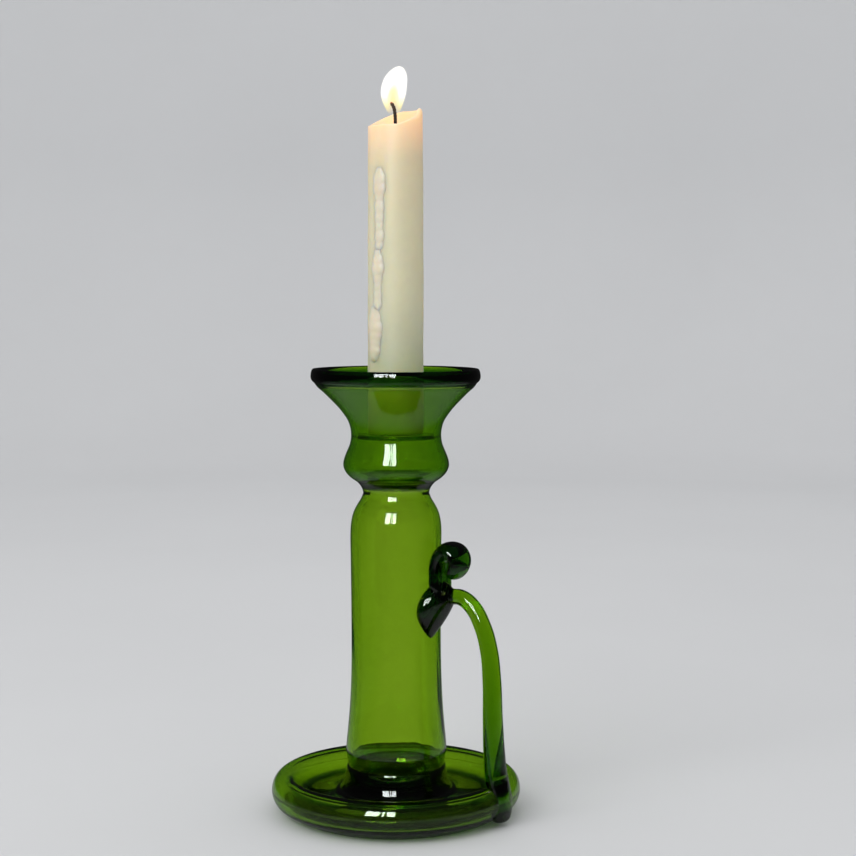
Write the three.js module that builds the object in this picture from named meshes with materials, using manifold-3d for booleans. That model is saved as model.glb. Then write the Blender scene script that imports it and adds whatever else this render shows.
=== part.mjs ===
// A hand-blown green glass chamber candlestick with its lit candle.
// Millimetres, +Z up. The origin is the centre of the foot on the table, and the handle lies along +X.
// The glass is built gather by gather, as it was joined hot: foot, tray, stem, neck, cup, lip and handle.
import * as THREE from "three";
import { mergeVertices } from "three/addons/utils/BufferGeometryUtils.js";
import Module from "manifold-3d";

const wasm = await Module();
wasm.setup();

// Driving dimensions
const GAP = 0.3; // clearance kept between neighbouring solids
const SEGMENTS = 32; // facets round the turned pieces
const WALL = 2.5; // usual wall of the blown glass

const RIM_RADIUS = 46.2; // centre of the rolled rim of the dish
const RIM_HALF_WIDTH = 5.6;
const RIM_HALF_HEIGHT = 6.8;
const RIM_HEIGHT = 9.5; // centre of the rolled rim above the table
const FOOT_RING_IN = 38; // flat ring that the foot stands on
const FOOT_RING_OUT = 43;
const PUSH_UP = 7; // height of the dome under the foot

const STEM_RADIUS = 18.5; // at its slimmest
const STEM_FOOT_RADIUS = 21.1;
const STEM_BOTTOM = 9.4;
const STEM_CORNER = 10.4; // rounding of the closed lower end of the stem
const NECK_RADIUS = 13.65;
const NECK_HEIGHT = 133.3;

const CUP_BOTTOM = 138.4;
const CUP_TOP = 179;
const WAIST_BORE = 15.2; // bore of the cup at its waist, where the ledge sits
const LEDGE_TOP = 157.7;
const LEDGE_THICKNESS = 2.6;
const LEDGE_HOLE = 8.5;

const LIP_RADIUS = 32.9; // centre of the lip ring
const LIP_HALF_WIDTH = 2.2;
const LIP_HALF_HEIGHT = 2.75;
const LIP_HEIGHT = 182.1;

const CANDLE_RADIUS = 11.5;
const CANDLE_TOP_RADIUS = 11.2;
const CANDLE_BOTTOM = LEDGE_TOP + GAP;
const CANDLE_TOP = 291;
const CANDLE_TILT = 16; // slope of the burnt top, in degrees
const CRATER_RADIUS = 8.8;
const CRATER_DEPTH = 7.5;
const CRATER_CENTRE = 290.5;
const LOW_SIDE = -60; // heading of the low side of the burnt top, in degrees from +X
const WICK_RADIUS = 0.75;
const RUN_HEADINGS = [264, 259, 249]; // headings of the wax runs, from the top down, in degrees from +X

const glass = (name) => material(name, 0x4f8206, 0.05);
const darkGlass = (name) => material(name, 0x142b08, 0.05);
const wax = (name) => material(name, 0xe9e4c6, 0.45);

function material(name, color, roughness) {
  return new THREE.MeshStandardMaterial({ name, color, roughness, metalness: 0 });
}

const candlestick = new THREE.Group();

function addPiece(name, geometry, look) {
  const mesh = new THREE.Mesh(geometry, look(name));
  mesh.name = name;
  candlestick.add(mesh);
}

// A turned solid from one outline of [radius, height] pairs, which closes on itself or on the axis.
function turned(outline, segments = SEGMENTS) {
  const closed = outline[0][0] > 0 ? [...outline, outline[0]] : outline;
  return new THREE.LatheGeometry(closed.map(([r, z]) => new THREE.Vector2(r, z)), segments)
    .rotateX(Math.PI / 2);
}

// Points on a smooth line through a few [radius, height] pairs.
function smooth(points, steps) {
  const line = new THREE.SplineCurve(points.map(([r, z]) => new THREE.Vector2(r, z)));
  return line.getPoints(steps).map((p) => [p.x, p.y]);
}

// Points on an elliptic arc, angles in degrees from the outward direction.
function arc(radius, height, halfWidth, halfHeight, from, to, steps) {
  return Array.from({ length: steps + 1 }, (_, i) => {
    const angle = THREE.MathUtils.degToRad(from + ((to - from) * i) / steps);
    return [radius + halfWidth * Math.cos(angle), height + halfHeight * Math.sin(angle)];
  });
}

// A hot-drawn strand along a line in the handle's plane. sizeAt gives [thickness, width] at 0..1 along it.
function strand(points, sizeAt, grow = 0, sides = 12, steps = 18) {
  const line = new THREE.CatmullRomCurve3(points.map(([x, z]) => new THREE.Vector3(x, 0, z)));
  const bar = new THREE.CylinderGeometry(1, 1, 1, sides, steps);
  const place = bar.attributes.position;
  const side = new THREE.Vector3(0, 1, 0);
  for (let i = 0; i < place.count; i += 1) {
    const t = place.getY(i) + 0.5;
    const along = line.getTangentAt(t);
    const out = new THREE.Vector3().crossVectors(side, along);
    const [thickness, width] = sizeAt(t);
    const spot = line.getPointAt(t)
      .addScaledVector(out, place.getX(i) * (thickness / 2 + grow))
      .addScaledVector(side, -place.getZ(i) * (width / 2 + grow));
    place.setXYZ(i, spot.x, spot.y, spot.z);
  }
  return bar;
}

// A size that swells from start to end, with both tips rounded off.
function rounded(t, size, tip) {
  const near = Math.min(t, 1 - t) / tip;
  return near >= 1 ? size : size * Math.sqrt(Math.max(0.12, near * (2 - near)));
}

function solid(geometry) {
  const bare = geometry.clone().deleteAttribute("normal").deleteAttribute("uv");
  const merged = mergeVertices(bare, 1e-4);
  return new wasm.Manifold(new wasm.Mesh({
    numProp: 3,
    vertProperties: new Float32Array(merged.attributes.position.array),
    triVerts: new Uint32Array(merged.index.array),
  }));
}

function shape(body) {
  const mesh = body.getMesh();
  const geometry = new THREE.BufferGeometry();
  geometry.setAttribute("position", new THREE.BufferAttribute(mesh.vertProperties, 3));
  geometry.setIndex(new THREE.BufferAttribute(mesh.triVerts, 1));
  geometry.computeVertexNormals();
  return geometry;
}

// Lower wall of the dish: push-up dome, flat foot ring, then up the outside of the rim to the seam.
function footShell() {
  return turned([
    [0, PUSH_UP],
    ...smooth([[10, 6.6], [21.5, 4.2], [FOOT_RING_IN, 0]], 4),
    [FOOT_RING_OUT, 0],
    ...arc(RIM_RADIUS, RIM_HEIGHT, RIM_HALF_WIDTH, RIM_HALF_HEIGHT, -66, -GAP, 5),
    ...arc(RIM_RADIUS, RIM_HEIGHT, RIM_HALF_WIDTH - WALL, RIM_HALF_HEIGHT - WALL, -GAP, -110, 4),
    [FOOT_RING_IN, 2.8],
    ...smooth([[32, 3.7], [21.5, 6.5], [10, 8.6]], 3),
    [0, PUSH_UP + 2],
  ]);
}

// Upper wall of the dish: trough round the stem, then over the hollow rolled rim to the seam.
function dripTray() {
  return turned([
    [24.2, 6.6],
    [32, 4.2],
    [FOOT_RING_IN, 3.3],
    [40.8, 4.4],
    ...arc(RIM_RADIUS, RIM_HEIGHT, RIM_HALF_WIDTH - WALL, RIM_HALF_HEIGHT - WALL, 200, 4, 7),
    ...arc(RIM_RADIUS, RIM_HEIGHT, RIM_HALF_WIDTH, RIM_HALF_HEIGHT, 2.5, 190, 11),
    [36.8, 6.9],
    [30, 7.4],
    [24.2, 9],
  ]);
}

// Thick glass that joins the closed end of the stem to the dish.
function stemJoint() {
  const corner = STEM_FOOT_RADIUS - STEM_CORNER;
  return turned([
    [10.7, 8.85],
    [21.5, 6.8],
    [23.7, 6.8],
    ...smooth([[23.8, 8], [22.6, 13], [21.9, 20.4]], 4),
    ...arc(corner, STEM_BOTTOM + STEM_CORNER, STEM_CORNER + GAP, STEM_CORNER + GAP, -2, -88, 6),
  ]);
}

function stemColumn() {
  const centre = STEM_BOTTOM + STEM_CORNER;
  const corner = STEM_FOOT_RADIUS - STEM_CORNER;
  const bore = STEM_CORNER - WALL;
  const outside = smooth([
    [20.9, 27.6], [20.1, 34.4], [18.95, 52], [STEM_RADIUS, 66], [18.55, 90], [18.85, 118],
    [17.8, 125.2], [15.7, 128.6], [NECK_RADIUS, NECK_HEIGHT],
  ], 14);
  const inside = smooth([
    [NECK_RADIUS - 3, NECK_HEIGHT], [13, 129.4], [15.6, 125], [16.2, 117],
    [16, 90], [16, 66], [16.5, 52], [17.6, 34.4], [18.4, 26.6],
  ], 9);
  return turned([
    [0, STEM_BOTTOM],
    ...arc(corner, centre, STEM_CORNER, STEM_CORNER, -90, 0, 6),
    ...outside,
    ...inside,
    ...arc(corner, centre, bore, bore, 0, -90, 5),
    [0, STEM_BOTTOM + WALL],
  ]);
}

// Solid disc of glass pinched between the stem and the cup.
function neckWafer() {
  return turned([
    [0, NECK_HEIGHT + 1.6],
    [8, NECK_HEIGHT + 1],
    [NECK_RADIUS - 2.6, NECK_HEIGHT + GAP],
    [NECK_RADIUS, NECK_HEIGHT + GAP],
    [14.3, 136.4],
    [16.3, CUP_BOTTOM - GAP],
    [0, CUP_BOTTOM - GAP],
  ]);
}

function candleCup() {
  const outside = smooth([
    [16.6, CUP_BOTTOM], [20.7, 141.9], [21.9, 145.2], [21.3, 148.5], [18.9, 154.2], [18.7, 158.5],
    [19.4, 161.8], [21, 165.1], [23.5, 168.4], [28.1, 173.3], [33.4, CUP_TOP],
  ], 18);
  const inside = smooth([
    [31.6, CUP_TOP], [26.2, 174.6], [21, 169.3], [17.6, 164.6], [WAIST_BORE, 158.6],
    [WAIST_BORE, 154.4], [17.7, 149], [17.9, 145], [15, 142.2],
  ], 11);
  return turned([
    [0, CUP_BOTTOM],
    ...outside,
    ...inside,
    [0, CUP_BOTTOM + WALL],
  ]);
}

// Ring of glass inside the waist of the cup, which the candle stands on.
function seatLedge() {
  const outer = WAIST_BORE - GAP;
  return turned([
    [LEDGE_HOLE, LEDGE_TOP - LEDGE_THICKNESS / 2],
    [LEDGE_HOLE + 0.8, LEDGE_TOP - LEDGE_THICKNESS],
    [outer, LEDGE_TOP - LEDGE_THICKNESS],
    [outer, LEDGE_TOP],
    [LEDGE_HOLE + 0.8, LEDGE_TOP],
  ]);
}

// Dark trailed ring on the mouth of the cup, leaning in towards its top.
function lipWrap() {
  const ring = arc(LIP_RADIUS, LIP_HEIGHT, LIP_HALF_WIDTH, LIP_HALF_HEIGHT, 0, 324, 9);
  return turned(ring.map(([r, z]) => [r - (z - LIP_HEIGHT) * 0.22, z]));
}

// Broken-off ring left under the foot by the rod that held the piece.
function pontilScar() {
  return turned([[6.2, 5.2], [7, 4.6], [8.2, 4.9], [8.6, 6.2], [6, 6.4]], 24);
}

const curlPoints = [
  [21, 95.5], [21, 100], [21.2, 105.5], [23.2, 109.8], [26.4, 111], [29.3, 109], [29.7, 105.4], [27.2, 103],
];
const curlSize = (t) => [
  rounded(t, 3.6 + 3.8 * THREE.MathUtils.smoothstep(t, 0.3, 0.6), 0.1),
  rounded(t, 18 - 5 * t, 0.1),
];
const strapPoints = [
  [26.4, 92.2], [30.4, 92.4], [35.9, 89], [40.6, 81.5], [43.6, 72], [45, 60], [45.6, 44], [46.3, 30], [47.2, 19.4],
];
const strapSize = (t) => [5.4 + 0.9 * t, 8.5 + 4.5 * t * t];

function thumbCurl(grow = 0) {
  return strand(curlPoints, curlSize, grow, 12, 18);
}

function handleStrap(grow = 0) {
  return strand(strapPoints, strapSize, grow, 12, 18);
}

// Leaf-shaped seal on the stem that the strap and the curl grow out of.
function handleSeal() {
  const leaf = new THREE.SphereGeometry(1, 16, 12).scale(9.6, 10.6, 12);
  const place = leaf.attributes.position;
  for (let i = 0; i < place.count; i += 1) {
    const low = Math.max(0, -place.getZ(i) / 12);
    place.setXYZ(i, place.getX(i) * (1 - 0.35 * low), place.getY(i) * (1 - 0.55 * low * low), place.getZ(i));
  }
  const stem = new THREE.CylinderGeometry(STEM_RADIUS + 0.4, STEM_RADIUS + 0.4, 80, 40)
    .rotateX(Math.PI / 2)
    .translate(0, 0, 90);
  return shape(solid(leaf.rotateY(-0.16).translate(18.4, 0, 88.5))
    .subtract(solid(stem))
    .subtract(solid(handleStrap(GAP)))
    .subtract(solid(thumbCurl(GAP))));
}

// Flattened end of the strap, pinched down over the outside of the rim.
function handleHeel() {
  const heel = strand(
    [[47.4, 18.7], [47.9, 15.6], [49.7, 10], [49.5, 5.5], [48.6, 2.4]],
    (t) => [7.2 - 0.6 * t, 13.2 - 2.8 * t],
    0, 12, 8,
  );
  const rim = turned(arc(
    RIM_RADIUS, RIM_HEIGHT, RIM_HALF_WIDTH + GAP, RIM_HALF_HEIGHT + GAP, 0, 340, 17,
  ), 64);
  return shape(solid(heel).subtract(solid(rim)));
}

// Candle with a burnt, sloping top and a crater round the wick.
function candleShaft() {
  const shaft = turned([
    [0, CANDLE_BOTTOM],
    [CANDLE_RADIUS - 0.6, CANDLE_BOTTOM],
    [CANDLE_RADIUS, CANDLE_BOTTOM + 0.8],
    [CANDLE_TOP_RADIUS, CANDLE_TOP - 1.6],
    [CANDLE_TOP_RADIUS - 1, CANDLE_TOP],
    [0, CANDLE_TOP],
  ]);
  const crater = new THREE.SphereGeometry(1, 18, 12)
    .scale(CRATER_RADIUS, CRATER_RADIUS, CRATER_DEPTH)
    .translate(0, 0, CRATER_CENTRE);
  const slope = new THREE.BoxGeometry(60, 60, 20)
    .translate(0, 0, 10)
    .rotateY(THREE.MathUtils.degToRad(CANDLE_TILT))
    .rotateZ(THREE.MathUtils.degToRad(LOW_SIDE))
    .translate(0, 0, CANDLE_TOP - CANDLE_TOP_RADIUS * Math.tan(THREE.MathUtils.degToRad(CANDLE_TILT)));
  return shape(solid(shaft).subtract(solid(crater)).subtract(solid(slope)));
}

function meltPool() {
  const bottom = CRATER_CENTRE - CRATER_DEPTH;
  return turned([
    [1.1, bottom + 0.45],
    [2.6, bottom + 0.75],
    [4.1, bottom + 1.25],
    [1.1, bottom + 1.25],
  ], 24);
}

function wick() {
  const base = CRATER_CENTRE - CRATER_DEPTH + GAP;
  const bend = new THREE.CatmullRomCurve3([
    new THREE.Vector3(0, 0, base),
    new THREE.Vector3(0, 0, base + 3),
    new THREE.Vector3(-0.3, -0.2, base + 6.5),
    new THREE.Vector3(-1.5, -0.9, base + 10.3),
  ]);
  const section = new THREE.Shape().absarc(0, 0, WICK_RADIUS, 0, Math.PI * 2);
  return new THREE.ExtrudeGeometry(section, { steps: 8, extrudePath: bend, curveSegments: 4 });
}

// A run of set wax: beads joined down one side of the candle. Each bead is [height, radius, half-height].
function waxRun(order, beads) {
  const heading = THREE.MathUtils.degToRad(RUN_HEADINGS[order]);
  const candle = new THREE.CylinderGeometry(CANDLE_RADIUS + GAP, CANDLE_RADIUS + GAP, 160, 48)
    .rotateX(Math.PI / 2)
    .translate(0, 0, 230);
  const lumps = beads.map(([z, radius, halfHeight]) => solid(
    new THREE.SphereGeometry(1, 8, 6)
      .scale(radius, radius * 1.25, halfHeight)
      .translate(CANDLE_RADIUS, 0, z)
      .rotateZ(heading),
  ));
  return shape(lumps.reduce((run, lump) => run.add(lump)).subtract(solid(candle)));
}

addPiece("foot_shell", footShell(), glass);
addPiece("drip_tray", dripTray(), glass);
addPiece("pontil_scar", pontilScar(), darkGlass);
addPiece("stem_joint", stemJoint(), darkGlass);
addPiece("stem_column", stemColumn(), glass);
addPiece("neck_wafer", neckWafer(), darkGlass);
addPiece("candle_cup", candleCup(), glass);
addPiece("seat_ledge", seatLedge(), glass);
addPiece("lip_wrap", lipWrap(), darkGlass);
addPiece("handle_seal", handleSeal(), darkGlass);
addPiece("thumb_curl", thumbCurl(), darkGlass);
addPiece("handle_strap", handleStrap(), glass);
addPiece("handle_heel", handleHeel(), darkGlass);
addPiece("candle_shaft", candleShaft(), wax);
addPiece("melt_pool", meltPool(), wax);
addPiece("wick", wick(), (name) => material(name, 0x1a1512, 0.9));
addPiece("wax_run_upper", waxRun(0, [
  [264, 1.0, 4], [259, 1.2, 3.6], [254, 1.0, 4], [248.5, 1.3, 3.8], [243, 1.1, 3.6], [237, 1.4, 4.4],
]), wax);
addPiece("wax_run_lower", waxRun(1, [
  [229.5, 1.1, 3], [225, 1.7, 3.6], [220.5, 1.3, 3.4], [216, 1.1, 3.8], [212.5, 1.3, 3],
]), wax);
addPiece("wax_drop", waxRun(2, [[204, 1.8, 4.4], [200, 2.1, 4.2], [196, 2.1, 4.2], [192, 2.4, 4]]), wax);

export default candlestick;
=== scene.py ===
"""A hand-blown green glass chamber candlestick with a lit candle.

The holder is made of hot-joined gathers of one bottle-green glass, and the candle lifts out of its cup.
Lengths in the outlines are millimetres, turned into metres by MM when a piece is drawn.
"""

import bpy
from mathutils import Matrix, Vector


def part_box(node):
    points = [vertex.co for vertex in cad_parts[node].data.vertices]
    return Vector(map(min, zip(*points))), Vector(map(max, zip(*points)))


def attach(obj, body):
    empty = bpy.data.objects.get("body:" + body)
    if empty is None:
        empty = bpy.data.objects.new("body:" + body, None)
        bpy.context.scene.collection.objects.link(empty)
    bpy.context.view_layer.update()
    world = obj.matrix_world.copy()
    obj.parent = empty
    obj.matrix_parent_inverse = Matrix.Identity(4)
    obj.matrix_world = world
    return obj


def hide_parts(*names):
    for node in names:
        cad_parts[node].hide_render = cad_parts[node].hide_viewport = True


bl_info = {
    "name": "Glass chamber candlestick",
    "version": (1, 0, 0),
    "blender": (4, 5, 0),
    "location": "View3D > Sidebar > Candlestick",
    "description": "Models a blown glass candlestick and its candle, piece by piece",
    "category": "Add Mesh",
}

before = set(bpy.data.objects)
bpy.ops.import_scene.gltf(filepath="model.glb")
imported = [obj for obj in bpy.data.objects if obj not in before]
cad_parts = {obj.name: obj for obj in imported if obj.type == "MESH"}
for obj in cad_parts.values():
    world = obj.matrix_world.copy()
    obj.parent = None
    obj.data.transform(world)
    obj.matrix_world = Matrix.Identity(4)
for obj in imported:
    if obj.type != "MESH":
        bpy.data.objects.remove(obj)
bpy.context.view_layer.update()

from math import atan2, cos, exp, pi, radians, sin, sqrt

import bpy
from mathutils import Vector

MM = 0.001
LAP = 0.04  # how far hot-joined pieces run into each other on either side of their seam, in mm
TURN = 96  # divisions round a turned piece before it is subdivided
SMOOTH = 160  # divisions round a cutter, which isn't subdivided
MERGE = 2e-6  # points of a turned piece closer than this are one, in metres
VIEW_HEADING = radians(30)  # the viewer's heading round the stem, from -Y towards +X
LOW_SIDE = radians(255)  # heading of the burnt-down side of the candle's rim, from +X
HORN_SIDE = radians(22)  # heading of the horn of wax left on the rim, from +X


# ---------------------------------------------------------------- colours and frame places


def linear(hex_colour):
    """A sRGB hex colour as linear red, green and blue."""
    parts = [int(hex_colour[i : i + 2], 16) / 255 for i in (1, 3, 5)]
    return tuple(c / 12.92 if c <= 0.04045 else ((c + 0.055) / 1.055) ** 2.4 for c in parts)


def low(node):
    """Height of the lowest point of a frame node, in mm."""
    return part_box(node)[0].z / MM


def high(node):
    """Height of the highest point of a frame node, in mm."""
    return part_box(node)[1].z / MM


def reach(node):
    """Outside radius of a turned frame node, in mm."""
    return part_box(node)[1].y / MM


# ---------------------------------------------------------------- settings


class GlassSettings(bpy.types.PropertyGroup):
    wall: bpy.props.FloatProperty(
        name="Wall", description="Usual thickness of the blown wall", default=2.4 * MM,
        min=1 * MM, max=5 * MM, unit="LENGTH", subtype="DISTANCE",
    )
    wander: bpy.props.FloatProperty(
        name="Wander", description="How far the hand-blown shape strays from a true turning",
        default=0.45 * MM, min=0, max=4 * MM, unit="LENGTH", subtype="DISTANCE",
    )
    streak: bpy.props.FloatProperty(
        name="Streaks", description="Depth of the drawn streaks inside the stem",
        default=0.45 * MM, min=0, max=2 * MM, unit="LENGTH", subtype="DISTANCE",
    )
    depth_of_colour: bpy.props.FloatProperty(
        name="Depth of colour", description="How strongly the glass absorbs light, per metre",
        default=900, min=0, max=4000,
    )
    passed_light: bpy.props.FloatVectorProperty(
        name="Passed light", description="Colour of the light that the glass lets through",
        default=(0.677, 0.817, 0.0), size=3, min=0, max=1, subtype="COLOR",
    )


class CandleSettings(bpy.types.PropertyGroup):
    wax_colour: bpy.props.FloatVectorProperty(
        name="Wax", description="Colour of the set wax", default=linear("#FBE4BF"), size=3,
        min=0, max=1, subtype="COLOR",
    )
    drip_colour: bpy.props.FloatVectorProperty(
        name="Drips", description="Colour of the wax that ran down and set",
        default=linear("#F0E3CB"), size=3, min=0, max=1, subtype="COLOR",
    )
    # Colour of the painted glow: emission in the wax that stands in for the flame's light shining through it
    painted_glow_colour: bpy.props.FloatVectorProperty(
        name="Glow", description="Colour of the wax lit through by the flame",
        default=linear("#FF9A5C"), size=3, min=0, max=1, subtype="COLOR",
    )
    flame_height: bpy.props.FloatProperty(
        name="Flame height", description="Height of the flame", default=20 * MM,
        min=5 * MM, max=40 * MM, unit="LENGTH", subtype="DISTANCE",
    )
    flame_width: bpy.props.FloatProperty(
        name="Flame width", description="Width of the flame at its widest", default=10.6 * MM,
        min=3 * MM, max=20 * MM, unit="LENGTH", subtype="DISTANCE",
    )


class StageSettings(bpy.types.PropertyGroup):
    cloth_colour: bpy.props.FloatVectorProperty(
        name="Floor", description="Colour of the pale floor and backdrop", default=linear("#DDDEDF"),
        size=3, min=0, max=1, subtype="COLOR",
    )
    radius: bpy.props.FloatProperty(
        name="Backdrop radius", description="Distance from the stem to the curved backdrop",
        default=1.9, min=1, max=5, unit="LENGTH", subtype="DISTANCE",
    )
    key_power: bpy.props.FloatProperty(
        name="Key power", description="Power of the soft key light", default=15, min=0, max=200, unit="POWER",
    )
    window_glare: bpy.props.FloatProperty(
        name="Window glare", description="Radiance of the window that the glass mirrors", default=19,
        min=0, max=100,
    )


# ---------------------------------------------------------------- modelling helpers


def deselect():
    if bpy.context.object and bpy.context.object.mode != "OBJECT":
        bpy.ops.object.mode_set(mode="OBJECT")
    bpy.ops.object.select_all(action="DESELECT")


def limited(t):
    """A number kept between 0 and 1."""
    return max(0, min(1, t))


def eased(t):
    """Goes smoothly from 0 to 1 as t does."""
    return t * t * (3 - 2 * t)


def round_end(distance, depth, least):
    """How full a section is at a distance from a tip that is rounded over a depth, both in mm."""
    share = min(1, distance / depth)
    return sqrt(max(least, share * (2 - share)))


def flow(points, steps):
    """A smooth line of steps + 1 points through a few pairs, evenly spread over the gaps between them."""
    ends = [tuple(2 * a - b for a, b in zip(points[0], points[1]))]
    ends += [*points, tuple(2 * a - b for a, b in zip(points[-1], points[-2]))]
    line = []
    for i in range(steps + 1):
        place = min(i / steps * (len(points) - 1), len(points) - 1 - 1e-9)
        k = int(place)
        t = place - k
        p, q, r, s = ends[k : k + 4]
        line.append(tuple(
            0.5 * (2 * b + (c - a) * t + (2 * a - 5 * b + 4 * c - d) * t * t
                   + (3 * b - a - 3 * c + d) * t ** 3)
            for a, b, c, d in zip(p, q, r, s)
        ))
    return line


def arc(centre, size, start, end, steps):
    """Points on an elliptic arc. Angles are degrees from the outward direction."""
    angles = [radians(start + (end - start) * i / steps) for i in range(steps + 1)]
    return [(centre[0] + size[0] * cos(a), centre[1] + size[1] * sin(a)) for a in angles]


def inner_wall(outside, thickness):
    """The inside of a blown wall, in the other direction. thickness gives mm at a share of the way along."""
    inside = []
    for i, (r, z) in enumerate(outside):
        before, after = outside[max(0, i - 1)], outside[min(len(outside) - 1, i + 1)]
        along = Vector((after[0] - before[0], after[1] - before[1])).normalized()
        depth = thickness(i / (len(outside) - 1))
        inside.append((r - along.y * depth, z + along.x * depth))
    return inside[::-1]


def finished(piece, angle=40):
    """Smooths a piece's shading, and leaves it at the origin, unturned and unscaled."""
    deselect()
    piece.select_set(True)
    bpy.context.view_layer.objects.active = piece
    bpy.ops.object.transform_apply(location=True, rotation=True, scale=True)
    bpy.ops.object.shade_smooth_by_angle(angle=radians(angle))
    return piece


def apply_modifier(piece, kind, **settings):
    bpy.context.view_layer.objects.active = piece
    modifier = piece.modifiers.new(kind.lower(), kind)
    for name, value in settings.items():
        setattr(modifier, name, value)
    bpy.ops.object.modifier_apply(modifier=modifier.name)


def turned(name, outline, steps=TURN, subdivide=1):
    """Spins an outline of (radius, height) pairs round the stem's axis into one piece.
    The outline is closed on itself, unless it starts on the axis."""
    points = [Vector((r * MM, 0, z * MM)) for r, z in outline]
    if outline[0][0] > 0:
        points.append(points[0])
    deselect()
    bpy.ops.mesh.primitive_plane_add(size=MM, location=points[0])
    piece = bpy.context.object
    piece.name = piece.data.name = name
    bpy.ops.object.transform_apply(location=True, rotation=True, scale=True)
    bpy.ops.object.mode_set(mode="EDIT")
    bpy.ops.mesh.merge(type="CENTER")
    for here, there in zip(points, points[1:]):
        bpy.ops.mesh.extrude_region_move(TRANSFORM_OT_translate={"value": there - here})
    bpy.ops.mesh.select_all(action="SELECT")
    bpy.ops.mesh.spin(steps=steps, angle=2 * pi, center=(0, 0, 0), axis=(0, 0, 1))
    bpy.ops.mesh.select_all(action="SELECT")
    bpy.ops.mesh.remove_doubles(threshold=MERGE)
    bpy.ops.mesh.normals_make_consistent(inside=False)
    bpy.ops.object.mode_set(mode="OBJECT")
    if subdivide:
        apply_modifier(piece, "SUBSURF", levels=subdivide, render_levels=subdivide)
    return piece


def bar(name, start, end, step, size_at, sides=36, roundness=2.0):
    """A straight bar along X, drawn out ring by ring. size_at gives (width, thickness) in mm.
    A roundness of 2 gives an oval section, and more gives a squarer one."""
    deselect()
    count = max(2, round((end - start) / step))
    width, thickness = size_at(start)
    bpy.ops.mesh.primitive_circle_add(
        vertices=sides, radius=0.5 * MM, fill_type="NGON",
        location=(start * MM, 0, 0), rotation=(0, pi / 2, 0),
    )
    piece = bpy.context.object
    piece.name = piece.data.name = name
    bpy.ops.object.transform_apply(location=True, rotation=True, scale=True)
    for vertex in piece.data.vertices:
        spot = vertex.co
        fullness = (abs(spot.y) ** roundness + abs(spot.z) ** roundness) ** (1 / roundness) / (0.5 * MM)
        spot.y /= fullness
        spot.z /= fullness
    bpy.ops.object.mode_set(mode="EDIT")
    bpy.ops.transform.resize(value=(1, width, thickness), center_override=(start * MM, 0, 0))
    for i in range(1, count + 1):
        place = start + (end - start) * i / count
        grown = size_at(place)
        bpy.ops.mesh.extrude_region_move(
            TRANSFORM_OT_translate={"value": ((end - start) / count * MM, 0, 0)}
        )
        bpy.ops.transform.resize(
            value=(1, grown[0] / width, grown[1] / thickness), center_override=(place * MM, 0, 0)
        )
        width, thickness = grown
    bpy.ops.mesh.select_all(action="SELECT")
    bpy.ops.mesh.normals_make_consistent(inside=False)
    bpy.ops.object.mode_set(mode="OBJECT")
    return piece


def guide(name, route):
    """A smooth curve through (x, y, z) points in mm, for bars to be bent along."""
    data = bpy.data.curves.new(name, "CURVE")
    data.dimensions = "3D"
    data.resolution_u = 32
    data.twist_mode = "MINIMUM"
    spline = data.splines.new("BEZIER")
    spline.bezier_points.add(len(route) - 1)
    for point, place in zip(spline.bezier_points, route):
        point.co = Vector(place) * MM
        point.handle_left_type = point.handle_right_type = "AUTO"
    curve = bpy.data.objects.new(name, data)
    bpy.context.scene.collection.objects.link(curve)
    bpy.context.view_layer.update()
    return curve


def bend(piece, curve):
    """Bends a straight bar along a guide curve."""
    apply_modifier(piece, "CURVE", object=curve, deform_axis="POS_X")


def discard(thing):
    bpy.data.objects.remove(thing, do_unlink=True)


def carve(piece, cutter):
    """Cuts a piece with another one, which is then thrown away."""
    apply_modifier(piece, "BOOLEAN", object=cutter, operation="DIFFERENCE", solver="EXACT")
    discard(cutter)


def ball(name, centre, size, divisions=(32, 20)):
    """A round lump, as a start for carving. centre and size are in mm."""
    deselect()
    bpy.ops.mesh.primitive_uv_sphere_add(
        segments=divisions[0], ring_count=divisions[1], radius=MM, location=Vector(centre) * MM
    )
    lump = bpy.context.object
    lump.name = lump.data.name = name
    lump.scale = size
    bpy.ops.object.transform_apply(location=True, rotation=True, scale=True)
    return lump


def noise_texture(name, size, colours=False):
    texture = bpy.data.textures.new(name, "CLOUDS")
    texture.noise_scale = size * MM
    texture.noise_depth = 1
    texture.cloud_type = "COLOR" if colours else "GRAYSCALE"
    return texture


def wander(piece, scale=70, amount=None):
    """Lets a piece stray from true as hand-blown work does. Neighbours stray together, so seams stay shut."""
    settings = bpy.context.scene.candlestick_glass
    apply_modifier(
        piece, "DISPLACE", texture=noise_texture("hand-blown wander", scale, colours=True),
        texture_coords="GLOBAL", direction="RGB_TO_XYZ", mid_level=0.5,
        strength=settings.wander if amount is None else amount,
    )


def streak(piece, low_edge, high_edge, inner_radius):
    """Pulls drawn streaks into the inner wall, fading out towards the seams. Heights and radii are in mm."""
    settings = bpy.context.scene.candlestick_glass
    fade = 12
    across, along = inner_radius * MM * 0.35, inner_radius * MM * 2.6
    group = piece.vertex_groups.new(name="inner wall")
    for vertex in piece.data.vertices:
        height = vertex.co.z / MM
        if vertex.normal.xy.dot(vertex.co.xy) < 0 and low_edge < height < high_edge:
            edge = min(height - low_edge, high_edge - height) / fade
            group.add([vertex.index], min(1, edge), "REPLACE")
    bpy.ops.object.empty_add(location=(0, 0, 0))
    stretch = bpy.context.object
    stretch.scale = (across, across, along)
    bpy.context.view_layer.update()
    apply_modifier(
        piece, "DISPLACE", texture=noise_texture("drawn streaks", 1 / MM), texture_coords="OBJECT",
        texture_coords_object=stretch, direction="NORMAL", mid_level=0.5, strength=settings.streak,
        vertex_group=group.name,
    )
    discard(stretch)
    piece.vertex_groups.clear()


# ---------------------------------------------------------------- materials


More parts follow.
